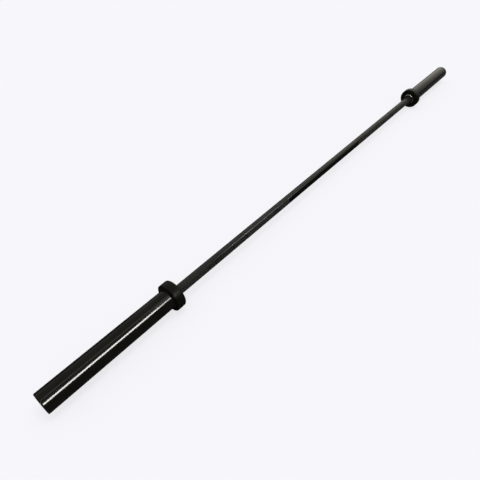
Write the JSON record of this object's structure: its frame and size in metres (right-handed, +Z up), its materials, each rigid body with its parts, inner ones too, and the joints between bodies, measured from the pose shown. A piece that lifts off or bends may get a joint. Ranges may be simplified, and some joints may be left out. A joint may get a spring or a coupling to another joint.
{
  "type": "barbell",
  "caption": "Long straight weightlifting bar with knurled grips, thick plate sleeves that spin on bronze bushings, and rounded stop collars, all in a plain black finish.",
  "frame": {"origin": "the middle of the bar, on its axis", "axes": "X along the bar, with the end nearest the picture's camera at -X; +Z up when the bar lies on a floor on its collars; Y level, across the bar"},
  "size_m": [2.01, 0.073, 0.073],
  "materials": {
    "shaft_coating": "satin",
    "sleeve_coating": "gloss",
    "collar_coating": "satin",
    "bronze": "satin",
    "ground_steel": "satin",
    "spring_steel": "satin",
    "seal_rubber": "matte",
    "cap_plastic": "matte"
  },
  "bodies": {
    "shaft_assembly": {"shaft": "shaft_coating", "left_shaft_snap_ring": "spring_steel", "left_inner_thrust_washer": "ground_steel", "left_outer_thrust_washer": "ground_steel", "right_shaft_snap_ring": "spring_steel", "right_inner_thrust_washer": "ground_steel", "right_outer_thrust_washer": "ground_steel"},
    "left_sleeve_assembly": {"left_sleeve": "sleeve_coating", "left_collar": "collar_coating", "left_dust_seal": "seal_rubber", "left_inner_bushing": "bronze", "left_outer_bushing": "bronze", "left_end_cap": "cap_plastic", "left_cap_snap_ring": "spring_steel"},
    "right_sleeve_assembly": {"right_sleeve": "sleeve_coating", "right_collar": "collar_coating", "right_dust_seal": "seal_rubber", "right_inner_bushing": "bronze", "right_outer_bushing": "bronze", "right_end_cap": "cap_plastic", "right_cap_snap_ring": "spring_steel"}
  },
  "joints": [
    {"name": "left_sleeve_spin", "type": "hinge", "parent": "shaft_assembly", "child": "left_sleeve_assembly", "pos_m": [-0.83, 0, 0], "axis": [1, 0, 0], "continuous": true},
    {"name": "right_sleeve_spin", "type": "hinge", "parent": "shaft_assembly", "child": "right_sleeve_assembly", "pos_m": [0.83, 0, 0], "axis": [1, 0, 0], "continuous": true}
  ]
}
